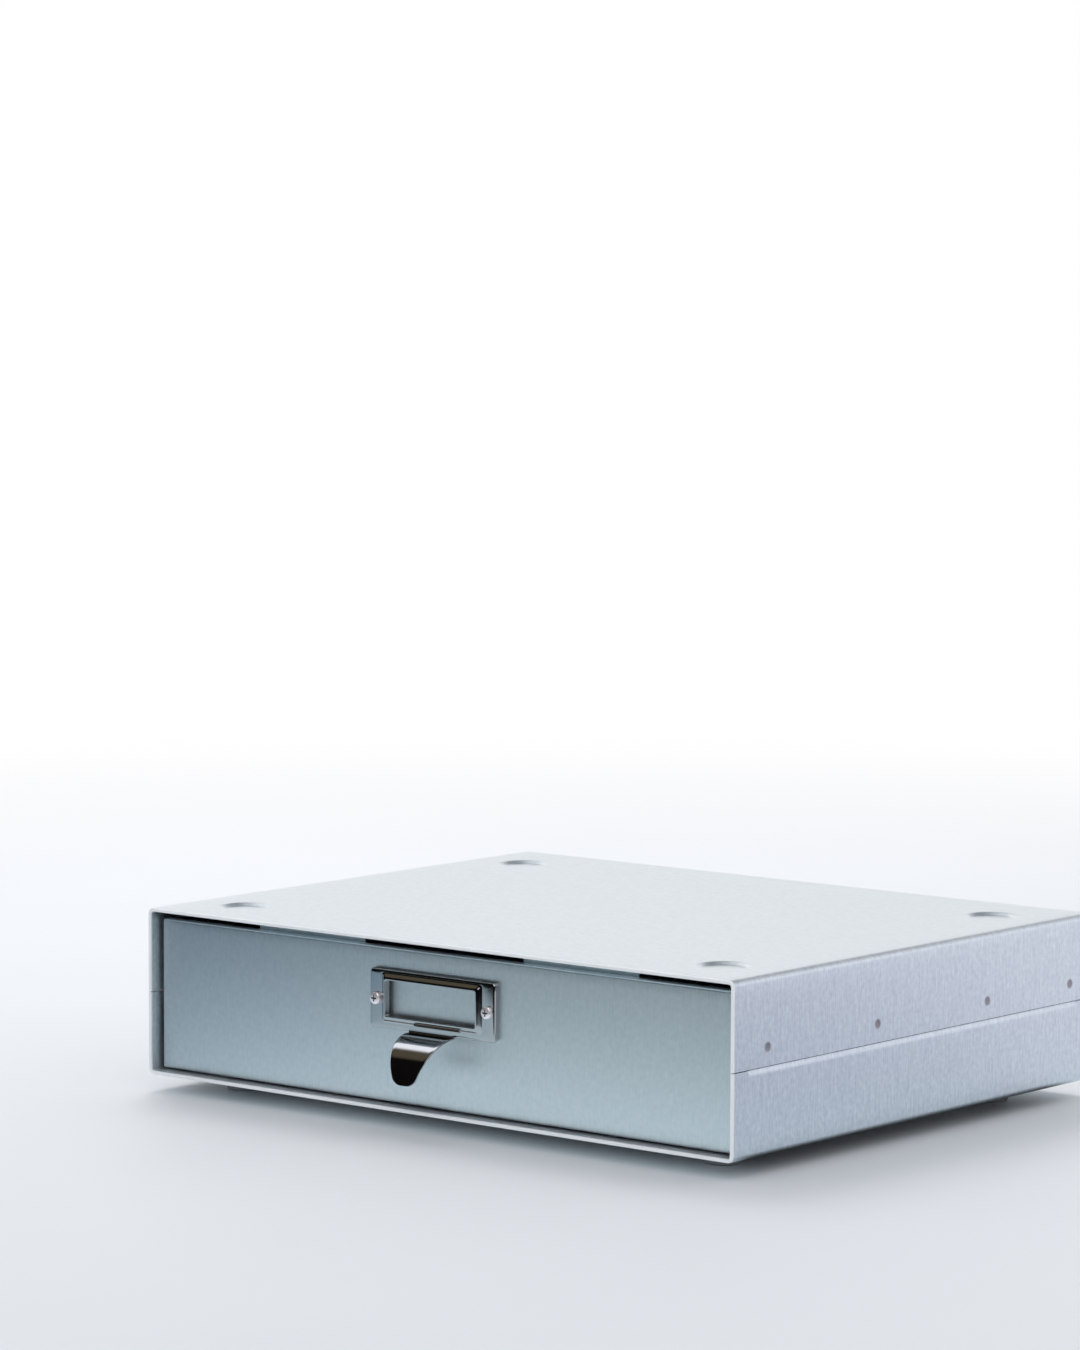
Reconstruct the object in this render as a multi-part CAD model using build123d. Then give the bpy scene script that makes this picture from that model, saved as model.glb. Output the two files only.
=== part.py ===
from build123d import *
import math
import os

# Stackable desktop drawer case in zinc-coated sheet steel: two folded shells
# joined at half height, a back panel, and one drawer with a chrome-plated
# label holder whose tongue is the pull. All lengths are in millimetres.
# +X runs to the right seen from the front, the drawer opens towards -Y.
# The origin lies under the middle of the whole object, in the plane the feet
# stand on.

# ---- sheet metal --------------------------------------------------------
sheet = 0.8             # gauge of the casing and drawer steel
hem_gap = 0.2           # space left inside a flattened hem
touch_gap = 0.1         # space between pieces that slide or slip together

# ---- casing -------------------------------------------------------------
case_width = 350.0
case_depth = 280.0
case_height = 80.0      # without the feet
case_bend = 3.0         # outer radius of the long corner bends
case_hem = 12.0         # how far the front edge is folded back inside
seam_height = 39.6      # height of the joint between the two shells
seam_gap = 0.4          # open line between the two shells
shoulder_rise = 1.8     # height over which the base shell bends inwards
shoulder_setback = 1.2  # plain edge kept behind the front hem
lap_height = 16.0       # overlap standing up behind the top shell
weld_radius = 1.7       # spot weld marks along the lap
weld_sink = 0.12
weld_rise = 8.7         # height of the weld row over the seam
weld_setbacks = [25.0, 107.0, 193.5]    # distances from the front edge
weld_last = 18.0        # distance of the last weld from the rear edge

back_flange = 12.0      # depth of the back panel's folded edge
back_bend = 1.4         # outer radius of that fold

tab_width = 66.0        # two drawer stops turned down from the top hem
tab_spacing = 161.0     # between the middles of the two stops
tab_drop = 6.7          # depth of a stop below the hem
tab_bend = 0.8          # inner radius of its bend
tab_relief = 1.0        # cut at each side of a stop

# ---- stacking dimples and feet, one above the other ---------------------
foot_inset_side = 31.5
foot_inset_front = 34.5
foot_inset_rear = 38.0
dimple_floor_radius = 9.8
dimple_slope = 2.4      # width of the soft edge round the floor
dimple_depth = 1.5
foot_radius = 9.25
foot_height = 7.5
foot_taper = 0.35       # how much narrower the foot is at the floor
foot_edge = 0.9         # rounding of its lower edge
foot_hollow_radius = 3.0
foot_hollow_depth = 1.5
pad_thickness = 0.5
pad_margin = 0.6        # how far the adhesive disc stays inside the foot

# ---- drawer running gear ------------------------------------------------
sill_gap = 1.0          # drawer front above the front hem
glide_width = 12.0
glide_spacing = 290.0   # between the middles of the two strips
glide_start = 17.0      # behind the front edge
glide_stop = 18.0       # before the rear edge
glide_rounding = 1.0
buffer_radius = 5.0
buffer_length = 5.0
buffer_spacing = 250.0
buffer_height = 30.0    # above the casing floor
buffer_rounding = 1.2
rest_gap = 0.2          # drawer to buffers when shut

# ---- drawer -------------------------------------------------------------
drawer_recess = 6.5     # drawer front behind the casing's front edge
side_gap = 1.8          # drawer front to the side hems
head_gap = 3.8          # drawer front to the top hem
front_bend = 1.2        # outer radius of the front panel's folds
front_return = 10.0     # depth of its side and lower folds
front_top_return = 4.5  # depth of its top fold
tray_bend = 1.6         # outer radius of the floor bends
tray_side_drop = 6.4    # drawer sides lower than the drawer front
tray_hem = 8.0
lip_width = 12.0        # welded lips at the front end of the sides
lip_margin = 3.0
wall_flange = 12.0      # folded edges of the drawer's back wall
wall_drop = 0.4         # back wall lower than the drawer front

# ---- label holder with pull ---------------------------------------------
holder_width = 75.0
holder_height = 27.5
holder_depth = 2.8      # how far it stands off the drawer front
holder_sheet = 0.9
holder_corner = 2.0
holder_bend = 1.2
holder_drop = 23.5      # middle of the plate below the drawer front's top
window_width = 53.5
window_height = 16.5
window_corner = 0.8
window_lift = 0.7       # middle of the window above the middle of the plate
bead_height = 1.5       # raised frame round the window
bead_crest = 1.0        # width of its flat crest
bead_run = 2.3          # width of its slope down to the plate
bead_round = 0.5
bead_foot_corner = 2.0  # corners of the frame's outline, on the plate
bead_crest_corner = 1.2  # and at its crest
lip_turn = 0.5          # how far the frame's inner edge goes behind the plate
card_slot_width = 58.0  # opening in the top edge for the card
pull_root_width = 27.6
pull_tip_width = 12.4
pull_reach = 19.8       # how far the tip stands in front of the plate
pull_turn = 80.0        # degrees through which the tongue curves down
pull_lip = 5.0          # straight end after the curve
pull_tip_round = 5.6
pull_root_bend = 0.7    # inner radius where tongue and plate meet
pull_edge = 0.25

# ---- screws and nuts of the label holder --------------------------------
screw_spacing = 66.6
screw_radius = 1.45
screw_length = 8.0
screw_hole_radius = 1.7
head_radius = 3.0
head_height = 2.1
head_rim = 0.7          # height of the head's edge before its dome
cross_length = 3.2
cross_width = 0.75
cross_depth = 1.3
nut_flats = 5.5
nut_height = 2.4
nut_bore_radius = 1.5

# ---- drawing aids -------------------------------------------------------
past = 1.0              # how far a cutting shape reaches past the metal
skim = 0.01             # the same where two faces would coincide
diagonal = math.sqrt(0.5)   # sine and cosine of 45 degrees

# ---- positions that follow ----------------------------------------------
half_width = case_width / 2
hem_thick = 2 * sheet + hem_gap
hem_ceiling = case_height - hem_thick
drawer_half = half_width - hem_thick - side_gap
drawer_bottom = hem_thick + sill_gap
drawer_top = hem_ceiling - head_gap
tray_half = drawer_half - sheet
tray_bottom = drawer_bottom + sheet
tray_floor = tray_bottom + sheet
tray_side_top = drawer_top - tray_side_drop
tray_front = drawer_recess + sheet
tray_rear = case_depth - sheet - buffer_length - rest_gap
wall_top = drawer_top - wall_drop
holder_face = drawer_recess - holder_depth
holder_middle = drawer_top - holder_drop
holder_bottom = holder_middle - holder_height / 2
lip_out = math.cos(math.radians(pull_turn))
lip_down = math.sin(math.radians(pull_turn))
pull_radius = (pull_reach - pull_lip * lip_out) / lip_down
pull_low = holder_bottom - pull_radius * (1 - lip_out) - pull_lip * lip_down
pull_overhang = pull_reach - holder_face
feet_total = foot_height + pad_thickness
foot_places = [
    ("front_left", -1, foot_inset_front),
    ("front_right", 1, foot_inset_front),
    ("rear_left", -1, case_depth - foot_inset_rear),
    ("rear_right", 1, case_depth - foot_inset_rear),
]

# The pieces are drawn from the casing's front edge and underside, then moved
# so that the origin comes under the middle of the whole object.
frame = Location((0, (pull_overhang - case_depth) / 2, feet_total))

# How far the drawer slides before its back wall meets the stops.
stop_rear = case_hem + sheet
drawer_travel = tray_rear - hem_thick - stop_rear


# ---- shared forms -------------------------------------------------------
def ring(*points):
    """Closed flat outline through the given corners."""
    return make_face(Polyline(*points, close=True))


def hemmed_sheet(x, z, depth):
    """Section across a sheet whose front edge is folded flat on itself."""
    mid = hem_thick / 2
    inner = hem_thick - sheet
    corners = {
        "front_out": (x, mid, z),
        "fold_out": (x + mid, 0, z),
        "front_in": (x + hem_thick, mid, z),
        "end_in": (x + hem_thick, case_hem, z),
        "end_mid": (x + inner, case_hem, z),
        "slit_in": (x + inner, mid, z),
        "fold_in": (x + mid, sheet, z),
        "slit_out": (x + sheet, mid, z),
        "rear_in": (x + sheet, depth, z),
        "rear_out": (x, depth, z),
    }
    c = corners
    return make_face(Wire([
        Line(c["rear_out"], c["front_out"]),
        ThreePointArc(c["front_out"], c["fold_out"], c["front_in"]),
        Line(c["front_in"], c["end_in"]),
        Line(c["end_in"], c["end_mid"]),
        Line(c["end_mid"], c["slit_in"]),
        ThreePointArc(c["slit_in"], c["fold_in"], c["slit_out"]),
        Line(c["slit_out"], c["rear_in"]),
        Line(c["rear_in"], c["rear_out"]),
    ]))


def folded_shell(open_z, closed_z):
    """U-shaped shell with a hemmed front edge, swept round both bends."""
    path = FilletPolyline(
        (-half_width, 0, open_z),
        (-half_width, 0, closed_z),
        (half_width, 0, closed_z),
        (half_width, 0, open_z),
        radius=case_bend,
    )
    return sweep(sections=hemmed_sheet(-half_width, open_z, case_depth), path=path)


def pan(width, height, depth, gauge, corner, bend):
    """Shallow folded pan: outer face on the ground plane, open upwards."""
    outer = extrude(RectangleRounded(width, height, corner), amount=depth)
    outer = fillet(outer.faces().sort_by(Axis.Z)[0].edges(), bend)
    inner = extrude(
        RectangleRounded(width - 2 * gauge, height - 2 * gauge, corner - gauge),
        amount=depth,
    )
    inner = fillet(inner.faces().sort_by(Axis.Z)[0].edges(), bend - gauge)
    return outer - Pos(0, 0, gauge) * inner


def block(x0, x1, y0, y1, z0, z1):
    """Box between two opposite corners."""
    middle = ((x0 + x1) / 2, (y0 + y1) / 2, (z0 + z1) / 2)
    return Location(middle) * Box(abs(x1 - x0), abs(y1 - y0), abs(z1 - z0))


def along_y(radius, length, x, y, z):
    """Round bar from the given point towards +Y."""
    return Location((x, y, z), (-90, 0, 0)) * Cylinder(
        radius, length, align=(Align.CENTER, Align.CENTER, Align.MIN)
    )


# ---- casing -------------------------------------------------------------
def stacking_dish():
    """Pressed dish, drawn about its own axis with the sheet's top at zero."""
    rim = dimple_floor_radius + dimple_slope
    edge = rim + past
    upper = Spline(
        (dimple_floor_radius, 0, -dimple_depth), (rim, 0, 0),
        tangents=[(1, 0, 0), (1, 0, 0)],
    )
    lower = Spline(
        (rim, 0, -sheet), (dimple_floor_radius, 0, -dimple_depth - sheet),
        tangents=[(-1, 0, 0), (-1, 0, 0)],
    )
    face = make_face(Wire([
        Line((0, 0, -dimple_depth), (dimple_floor_radius, 0, -dimple_depth)),
        upper,
        Line((rim, 0, 0), (edge, 0, 0)),
        Line((edge, 0, 0), (edge, 0, -sheet)),
        Line((edge, 0, -sheet), (rim, 0, -sheet)),
        lower,
        Line((dimple_floor_radius, 0, -dimple_depth - sheet), (0, 0, -dimple_depth - sheet)),
        Line((0, 0, -dimple_depth - sheet), (0, 0, -dimple_depth)),
    ]))
    return revolve(face, Axis.Z), edge


def stop_tab(middle):
    """One stop turned down from the end of the top hem."""
    x0 = middle - tab_width / 2
    top = hem_ceiling + sheet
    start = case_hem - tab_bend
    low = hem_ceiling - tab_drop
    turn = hem_ceiling - tab_bend
    outer = tab_bend + sheet
    face = make_face(Wire([
        Line((x0, start, top), (x0, start, hem_ceiling)),
        ThreePointArc(
            (x0, start, hem_ceiling),
            (x0, start + tab_bend * diagonal, turn + tab_bend * diagonal),
            (x0, case_hem, turn),
        ),
        Line((x0, case_hem, turn), (x0, case_hem, low)),
        Line((x0, case_hem, low), (x0, stop_rear, low)),
        Line((x0, stop_rear, low), (x0, stop_rear, turn)),
        ThreePointArc(
            (x0, stop_rear, turn),
            (x0, start + outer * diagonal, turn + outer * diagonal),
            (x0, start, top),
        ),
    ]))
    return extrude(face, amount=tab_width, dir=(1, 0, 0))


def casing_top_shell():
    """Top and upper half of both sides."""
    shell = folded_shell(seam_height + seam_gap / 2, case_height)
    slot = tab_width / 2 + tab_relief
    for side in (-1, 1):
        middle = side * tab_spacing / 2
        shell -= block(
            middle - slot, middle + slot, case_hem - tab_bend, case_hem + past,
            hem_ceiling - past, hem_ceiling + sheet + hem_gap / 2,
        )
        shell += stop_tab(middle)
    dish, edge = stacking_dish()
    for _, side, setback in foot_places:
        place = Location((side * (half_width - foot_inset_side), setback, case_height))
        shell -= place * Cylinder(edge, 4 * sheet)
        shell += place * dish
    rows = weld_setbacks + [case_depth - weld_last]
    for side in (-1, 1):
        for setback in rows:
            spot = Location(
                (side * half_width, setback, seam_height + weld_rise), (0, 90, 0)
            )
            shell -= spot * Cylinder(weld_radius, 2 * weld_sink)
    return shell


def shoulder_lap(side):
    """Upper edge of the base shell: a shoulder bent in, and a lap behind the top shell."""
    x = side * half_width
    inward = -side * sheet
    y = case_hem + shoulder_setback
    ledge = seam_height - seam_gap / 2
    foot = ledge - shoulder_rise
    top = seam_height + lap_height
    face = make_face(Wire([
        Spline((x, y, foot), (x + inward, y, ledge), tangents=[(0, 0, 1), (-side, 0, 0)]),
        Line((x + inward, y, ledge), (x + inward, y, top)),
        Line((x + inward, y, top), (x + 2 * inward, y, top)),
        Line((x + 2 * inward, y, top), (x + 2 * inward, y, ledge)),
        Spline(
            (x + 2 * inward, y, ledge), (x + inward, y, foot),
            tangents=[(0, 0, -1), (0, 0, -1)],
        ),
        Line((x + inward, y, foot), (x, y, foot)),
    ]))
    length = case_depth - back_flange - shoulder_setback - y
    return extrude(face, amount=length, dir=(0, 1, 0))


def casing_base_shell():
    """Floor and lower half of both sides."""
    shell = folded_shell(seam_height - seam_gap / 2, 0)
    for side in (-1, 1):
        shell -= block(
            side * (half_width + past), side * (half_width - sheet - past),
            case_hem + shoulder_setback / 2,
            case_depth - back_flange - shoulder_setback / 2,
            seam_height - seam_gap / 2 - shoulder_rise, seam_height + past,
        )
        shell += shoulder_lap(side)
    return shell


def casing_back_panel():
    """Folded pan that closes the rear between the two shells."""
    inset = sheet + touch_gap
    body = pan(
        case_width - 2 * inset, case_height - 2 * inset, back_flange, sheet,
        case_bend - inset, back_bend,
    )
    return Location((0, case_depth, case_height / 2), (90, 0, 0)) * body


def foot():
    """Moulded foot, drawn about its own axis below the adhesive disc."""
    low = foot_radius - foot_taper
    face = ring(
        (0, 0, 0), (foot_radius, 0, 0), (low, 0, -foot_height),
        (foot_hollow_radius, 0, -foot_height),
        (foot_hollow_radius, 0, -foot_height + foot_hollow_depth),
        (0, 0, -foot_height + foot_hollow_depth),
    )
    body = revolve(face, Axis.Z)
    rim = body.edges().filter_by(GeomType.CIRCLE).group_by(Axis.Z)[0]
    return fillet(rim.sort_by(SortBy.RADIUS)[-1], foot_edge)


def foot_place(side, setback):
    return Location((side * (half_width - foot_inset_side), setback, -pad_thickness))


def foot_pads():
    """Adhesive discs, one over each foot."""
    disc = Cylinder(
        foot_radius - pad_margin, pad_thickness,
        align=(Align.CENTER, Align.CENTER, Align.MIN),
    )
    return Compound([foot_place(side, setback) * disc for _, side, setback in foot_places])


def glide_strip(side):
    """Plastic strip on the casing floor that carries the drawer."""
    middle = side * glide_spacing / 2
    body = block(
        middle - glide_width / 2, middle + glide_width / 2,
        glide_start, case_depth - glide_stop,
        sheet, tray_bottom - touch_gap,
    )
    top = body.faces().sort_by(Axis.Z)[-1]
    return fillet(top.edges(), glide_rounding)


def rear_buffer(side):
    """Rubber stop on the back panel."""
    body = along_y(
        buffer_radius, buffer_length,
        side * buffer_spacing / 2, case_depth - sheet - buffer_length,
        sheet + buffer_height,
    )
    nose = body.edges().filter_by(GeomType.CIRCLE).sort_by(Axis.Y)[0]
    return fillet(nose, buffer_rounding)


# ---- drawer -------------------------------------------------------------
def drawer_front_panel():
    """Front with short folds on all four edges and two screw holes."""
    height = drawer_top - drawer_bottom
    body = pan(2 * drawer_half, height, front_return, sheet, front_bend, front_bend)
    middle = (drawer_top + drawer_bottom) / 2
    body = Location((0, drawer_recess, middle), (-90, 0, 0)) * body
    body -= block(
        -half_width, half_width,
        drawer_recess + front_top_return, drawer_recess + 2 * front_return,
        drawer_top - front_bend, drawer_top + past,
    )
    for side in (-1, 1):
        body -= along_y(
            screw_hole_radius, 4 * sheet, side * screw_spacing / 2,
            drawer_recess - sheet, holder_middle,
        )
    return body


def tray_side_section(side):
    """Half section of the drawer body: floor, side and hemmed top edge."""
    y = tray_front + front_bend - sheet
    mid = hem_thick / 2
    low = tray_side_top - mid
    inner = tray_bend - sheet

    def at(inward, z):
        return (side * (tray_half - inward), y, z)

    def bend_point(radius):
        inset = tray_bend - radius * diagonal
        return at(inset, tray_bottom + inset)

    return make_face(Wire([
        Line((0, y, tray_bottom), at(tray_bend, tray_bottom)),
        ThreePointArc(
            at(tray_bend, tray_bottom), bend_point(tray_bend), at(0, tray_bottom + tray_bend)
        ),
        Line(at(0, tray_bottom + tray_bend), at(0, low)),
        ThreePointArc(at(0, low), at(mid, tray_side_top), at(hem_thick, low)),
        Line(at(hem_thick, low), at(hem_thick, tray_side_top - tray_hem)),
        Line(
            at(hem_thick, tray_side_top - tray_hem),
            at(hem_thick - sheet, tray_side_top - tray_hem),
        ),
        Line(at(hem_thick - sheet, tray_side_top - tray_hem), at(hem_thick - sheet, low)),
        ThreePointArc(at(hem_thick - sheet, low), at(mid, tray_side_top - sheet), at(sheet, low)),
        Line(at(sheet, low), at(sheet, tray_bottom + tray_bend)),
        ThreePointArc(
            at(sheet, tray_bottom + tray_bend), bend_point(inner), at(tray_bend, tray_floor)
        ),
        Line(at(tray_bend, tray_floor), (0, y, tray_floor)),
        Line((0, y, tray_floor), (0, y, tray_bottom)),
    ]))


def drawer_body():
    """Floor and sides folded from one sheet, with lips at the front end."""
    length = tray_rear - tray_front - front_bend + sheet
    body = None
    for side in (-1, 1):
        half = extrude(tray_side_section(side), amount=length, dir=(0, 1, 0))
        body = half if body is None else body + half
    lip_top = tray_side_top - tray_hem - lip_margin
    for side in (-1, 1):
        body += block(
            side * (tray_half - front_bend + sheet), side * (tray_half - sheet - lip_width),
            tray_front, tray_front + sheet, tray_floor + lip_margin, lip_top,
        )
    edge = tray_half - sheet - lip_width - lip_margin
    body += block(
        -edge, edge, tray_front, tray_front + sheet,
        tray_bottom + front_bend - sheet, tray_floor + lip_width,
    )
    return body


def drawer_back_wall():
    """Wall with side and floor flanges and a hemmed top edge."""
    half = tray_half - sheet
    low = tray_floor
    shoulder = tray_side_top - tray_hem - lip_margin
    narrow = tray_half - hem_thick - touch_gap
    outline = Pos(0, tray_rear - wall_flange / 2) * Rectangle(2 * half, wall_flange)
    outline = fillet(outline.vertices().group_by(Axis.Y)[-1], tray_bend)
    hollow = Pos(0, tray_rear - sheet - wall_flange / 2) * Rectangle(
        2 * half - 2 * sheet, wall_flange
    )
    hollow = fillet(hollow.vertices().group_by(Axis.Y)[-1], tray_bend - sheet)
    wall = Pos(0, 0, low) * extrude(outline - hollow, amount=shoulder - low)
    corner = tray_bend - sheet
    for side in (-1, 1):
        wall -= block(
            side * (half - corner), side * (half + past),
            tray_rear - wall_flange - past, tray_rear + past, low - past, low + corner,
        )
    mid = hem_thick / 2
    y0 = tray_rear
    turn = wall_top - mid
    section = make_face(Wire([
        Line((-narrow, y0, shoulder), (-narrow, y0, turn)),
        ThreePointArc(
            (-narrow, y0, turn), (-narrow, y0 - mid, wall_top), (-narrow, y0 - hem_thick, turn)
        ),
        Line((-narrow, y0 - hem_thick, turn), (-narrow, y0 - hem_thick, wall_top - tray_hem)),
        Line(
            (-narrow, y0 - hem_thick, wall_top - tray_hem),
            (-narrow, y0 - hem_thick + sheet, wall_top - tray_hem),
        ),
        Line(
            (-narrow, y0 - hem_thick + sheet, wall_top - tray_hem),
            (-narrow, y0 - hem_thick + sheet, turn),
        ),
        ThreePointArc(
            (-narrow, y0 - hem_thick + sheet, turn),
            (-narrow, y0 - mid, wall_top - sheet),
            (-narrow, y0 - sheet, turn),
        ),
        Line((-narrow, y0 - sheet, turn), (-narrow, y0 - sheet, shoulder)),
        Line((-narrow, y0 - sheet, shoulder), (-narrow, y0, shoulder)),
    ]))
    wall += extrude(section, amount=2 * narrow, dir=(1, 0, 0))
    edge = half - tray_bend - lip_margin
    wall += block(
        -edge, edge, tray_rear - wall_flange, tray_rear - sheet / 2, low, low + sheet
    )
    return wall


def holder_plate():
    """Plate with its edges turned back and the raised window frame."""
    lift = holder_middle + window_lift
    place = Location((0, holder_face, holder_middle), (-90, 0, 0))
    plate = place * pan(
        holder_width, holder_height, holder_depth, holder_sheet, holder_corner, holder_bend
    )

    def across(width, height, corner, forward):
        spot = Plane(
            origin=(0, holder_face - forward, lift), x_dir=(1, 0, 0), z_dir=(0, -1, 0)
        )
        return spot * RectangleRounded(width, height, corner)

    base = bead_crest + bead_run
    slope = holder_sheet * math.tan(math.atan2(bead_height, bead_run) / 2)
    outer = loft([
        across(window_width + 2 * base, window_height + 2 * base, bead_foot_corner, 0),
        across(
            window_width + 2 * bead_crest, window_height + 2 * bead_crest,
            bead_crest_corner, bead_height,
        ),
    ])
    crest = outer.faces().sort_by(Axis.Y)[0]
    outer = fillet(crest.edges(), bead_round)
    hollow = loft([
        across(
            window_width + 2 * (base - slope), window_height + 2 * (base - slope),
            bead_foot_corner, -holder_sheet,
        ),
        across(
            window_width + 2 * (bead_crest - slope), window_height + 2 * (bead_crest - slope),
            bead_crest_corner, bead_height - holder_sheet,
        ),
    ])
    rim = across(
        window_width + 2 * holder_sheet, window_height + 2 * holder_sheet,
        window_corner + holder_sheet / 2, -holder_sheet - lip_turn,
    )
    lip_depth = bead_height + lip_turn + holder_sheet / 2
    plate += outer
    plate -= hollow
    plate += extrude(rim, amount=lip_depth, dir=(0, -1, 0))
    window = across(window_width, window_height, window_corner, -2 * holder_depth)
    plate -= extrude(window, amount=4 * holder_depth, dir=(0, -1, 0))
    plate -= block(
        -card_slot_width / 2, card_slot_width / 2,
        holder_face + holder_sheet, drawer_recess + past,
        holder_middle + holder_height / 2 - holder_bend - touch_gap,
        holder_middle + holder_height / 2 + past,
    )
    return plate


def pull_tongue():
    """Tongue bent forward from the plate, curved down, with a straight end."""
    x0 = -pull_root_width / 2
    y = holder_face
    z = holder_bottom
    back = y + holder_sheet
    overlap = z + 2 * pull_root_bend
    inner = pull_radius - holder_sheet
    centre = z - pull_radius

    def bend_point(radius, degrees, lip=0.0):
        """Point on the curve round its centre, or along the straight end after it."""
        angle = math.radians(degrees)
        forward = radius * math.sin(angle) + lip * math.cos(angle)
        return (x0, y - forward, centre + radius * math.cos(angle) - lip * math.sin(angle))

    start = bend_point(pull_radius, math.degrees(math.asin(pull_root_bend / pull_radius)))
    soft = pull_root_bend * (1 - diagonal)
    half = pull_turn / 2
    face = make_face(Wire([
        Line((x0, y, overlap), (x0, y, z + pull_root_bend)),
        ThreePointArc((x0, y, z + pull_root_bend), (x0, y - soft, z + soft), start),
        ThreePointArc(
            start, bend_point(pull_radius, half), bend_point(pull_radius, pull_turn)
        ),
        Line(bend_point(pull_radius, pull_turn), bend_point(pull_radius, pull_turn, pull_lip)),
        Line(
            bend_point(pull_radius, pull_turn, pull_lip),
            bend_point(inner, pull_turn, pull_lip),
        ),
        Line(bend_point(inner, pull_turn, pull_lip), bend_point(inner, pull_turn)),
        ThreePointArc(bend_point(inner, pull_turn), bend_point(inner, half), bend_point(inner, 0)),
        ThreePointArc(
            bend_point(inner, 0),
            (x0, y + holder_sheet * diagonal, z - holder_sheet * diagonal),
            (x0, back, z),
        ),
        Line((x0, back, z), (x0, back, overlap)),
        Line((x0, back, overlap), (x0, y, overlap)),
    ]))
    strip = extrude(face, amount=pull_root_width, dir=(1, 0, 0))
    root = pull_root_width / 2
    tip = pull_tip_width / 2
    low = pull_low - skim
    front = Plane(origin=(0, back + past, 0), x_dir=(1, 0, 0), z_dir=(0, -1, 0))
    outline = make_face(Polyline(
        (-root, overlap + past), (-root, z - pull_edge), (-tip, low), (tip, low),
        (root, z - pull_edge), (root, overlap + past), close=True,
    ))
    outline = fillet(outline.vertices().group_by(Axis.Y)[0], pull_tip_round)
    mask = extrude(front * outline, amount=pull_reach + 4 * holder_sheet)
    return strip & mask


def label_holder_pull():
    """One pressing: plate, window frame and pull tongue."""
    plate = holder_plate()
    root = pull_root_width / 2
    plate -= block(
        -root, root, holder_face + holder_sheet, drawer_recess + past,
        holder_bottom - past, holder_bottom + holder_bend + touch_gap,
    )
    plate += pull_tongue()
    for side in (-1, 1):
        plate -= along_y(
            screw_hole_radius, holder_depth, side * screw_spacing / 2,
            holder_face - past, holder_middle,
        )
    return plate


def label_screw(side):
    """Pan-head screw with a cross recess."""
    x = side * screw_spacing / 2
    dome = head_height - head_rim
    face = make_face(Wire([
        Line((0, 0, 0), (head_radius, 0, 0)),
        Line((head_radius, 0, 0), (head_radius, 0, head_rim)),
        Spline(
            (head_radius, 0, head_rim), (0, 0, head_rim + dome),
            tangents=[(0, 0, 1), (-1, 0, 0)],
        ),
        Line((0, 0, head_rim + dome), (0, 0, 0)),
    ]))
    head = revolve(face, Axis.Z)
    slot = Box(cross_length, cross_width, cross_depth, align=(Align.CENTER, Align.CENTER, Align.MAX))
    for angle in (0, 90):
        head -= Location((0, 0, head_height + skim), (0, 0, angle)) * slot
    shank = Cylinder(screw_radius, screw_length, align=(Align.CENTER, Align.CENTER, Align.MAX))
    return Location((x, holder_face, holder_middle), (90, 0, 0)) * (head + shank)


def label_nut(side):
    """Hexagon nut against the inside of the drawer front."""
    outline = RegularPolygon(nut_flats / 2, 6, major_radius=False)
    body = extrude(outline - Circle(nut_bore_radius), amount=nut_height)
    x = side * screw_spacing / 2
    return Location((x, tray_front, holder_middle), (-90, 0, 0)) * body


# ---- write one file for each piece --------------------------------------
def pieces():
    made = {
        "casing_top_shell": casing_top_shell(),
        "casing_base_shell": casing_base_shell(),
        "casing_back_panel": casing_back_panel(),
        "foot_adhesive_pads": foot_pads(),
    }
    for name, side, setback in foot_places:
        made["foot_" + name] = foot_place(side, setback) * foot()
    for name, side in (("left", -1), ("right", 1)):
        made["glide_strip_" + name] = glide_strip(side)
        made["rear_buffer_" + name] = rear_buffer(side)
        made["label_screw_" + name] = label_screw(side)
        made["label_nut_" + name] = label_nut(side)
    made["drawer_body"] = drawer_body()
    made["drawer_back_wall"] = drawer_back_wall()
    made["drawer_front_panel"] = drawer_front_panel()
    made["label_holder_pull"] = label_holder_pull()
    return made


os.makedirs("parts", exist_ok=True)
for node, shape in pieces().items():
    export_step(frame * shape, "parts/" + node + ".step")
print("front edge of the casing at y", round(frame.position.Y, 3))
print("drawer travel", round(drawer_travel, 3))
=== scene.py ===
# %% [markdown]
# # A stackable drawer case in zinc-coated steel
#
# The real object is bent from thin sheet: two U-shaped shells closed by a back panel, and a
# drawer with a chrome-plated label holder whose tongue is the pull. The CAD frame holds every
# piece at its real size. This lesson gives the visible pieces their finish: each sheet is one
# surface worked out with numpy, then given its gauge, so that hems, dimples and stops come from
# the same fold lines as on the press brake.

# %% Load the frame
import math

import bpy
import numpy as np
from mathutils import Matrix, Vector


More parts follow.
